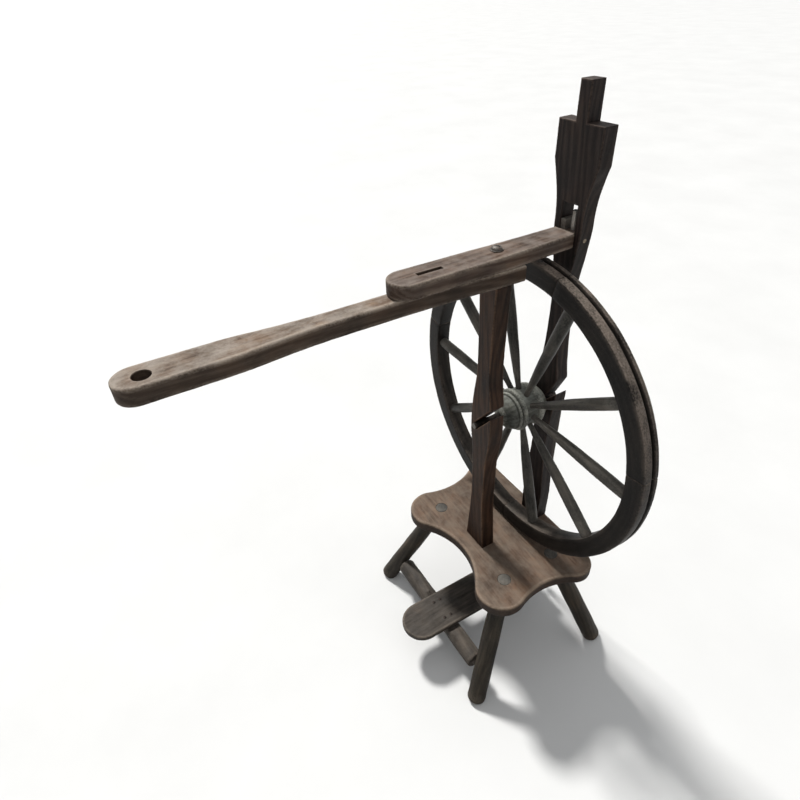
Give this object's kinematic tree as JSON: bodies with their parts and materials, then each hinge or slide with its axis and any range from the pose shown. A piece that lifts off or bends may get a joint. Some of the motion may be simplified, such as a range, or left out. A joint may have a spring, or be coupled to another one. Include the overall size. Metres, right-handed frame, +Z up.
{
  "type": "treadle spinning wheel",
  "caption": "Upright treadle spinning wheel: lobed bench on splayed legs, two posts, spoked wheel with grooved rim, crossbar and swinging distaff arm.",
  "frame": {"origin": "middle of the bounding box's bottom face, on the floor", "axes": "+Z up, +Y along the wheel's axle towards the tall back post, +X to the right in the wheel's plane seen from the distaff arm's tip"},
  "size_m": [0.48, 0.6144, 0.905],
  "materials": {
    "bench_wood": "worn, dry",
    "leg_wood": "dark stain, worn",
    "front_post_wood": "dark stain, worn",
    "back_post_wood": "dark stain, worn",
    "crossbar_wood": "worn, dry",
    "arm_wood": "worn pale, dry",
    "hub_wood": "dusty",
    "rim_wood": "dark stain, worn edges",
    "spoke_wood": "dark stain, satin",
    "treadle_wood": "worn, dry",
    "pale_wood": "dry",
    "iron": "dull, lightly rusted"
  },
  "bodies": {
    "frame": {"bench_plank": "bench_wood", "leg_front_left": "leg_wood", "leg_front_right": "leg_wood", "leg_back_left": "leg_wood", "leg_back_right": "leg_wood", "front_post": "front_post_wood", "back_post": "back_post_wood", "post_wedges": "pale_wood", "crossbar": "crossbar_wood", "crossbar_peg": "pale_wood", "pivot_screw": "iron", "pivot_washer": "iron", "bearing_block": "pale_wood", "bearing_hook": "iron"},
    "wheel": {"axle": "iron", "crank_keeper": "iron", "wheel_hub": "hub_wood", "felloe_1": "rim_wood", "felloe_2": "rim_wood", "felloe_3": "rim_wood", "felloe_4": "rim_wood", "felloe_dowels": "pale_wood", "spoke_1": "spoke_wood", "spoke_2": "spoke_wood", "spoke_3": "spoke_wood", "spoke_4": "spoke_wood", "spoke_5": "spoke_wood", "spoke_6": "spoke_wood", "spoke_7": "spoke_wood", "spoke_8": "spoke_wood", "spoke_9": "spoke_wood", "spoke_10": "spoke_wood"},
    "footman": {"footman": "leg_wood", "footman_pin": "pale_wood"},
    "treadle": {"treadle_bar": "treadle_wood", "treadle_board": "treadle_wood", "treadle_nails": "iron", "treadle_pin": "pale_wood"},
    "arm": {"distaff_arm": "arm_wood"}
  },
  "joints": [
    {"name": "wheel_spin", "type": "hinge", "parent": "frame", "child": "wheel", "pos_m": [0, 0.2088, 0.466], "axis": [0, 1, 0], "continuous": true},
    {"name": "footman_hang", "type": "hinge", "parent": "wheel", "child": "footman", "pos_m": [0, 0.2863, 0.436], "axis": [0, 1, 0], "continuous": true},
    {"name": "treadle_rock", "type": "hinge", "parent": "frame", "child": "treadle", "pos_m": [0.012, 0.05745, 0.056], "axis": [1, 0, 0], "range_deg": [0, 15]},
    {"name": "distaff_arm_swing", "type": "hinge", "parent": "frame", "child": "arm", "pos_m": [0.01, 0.13585, 0.706], "axis": [0, 0, 1], "range_deg": [-100, 100]}
  ],
  "couplings": [
    {"joint": "footman_hang", "follows": "wheel_spin", "ratio": -1}
  ]
}
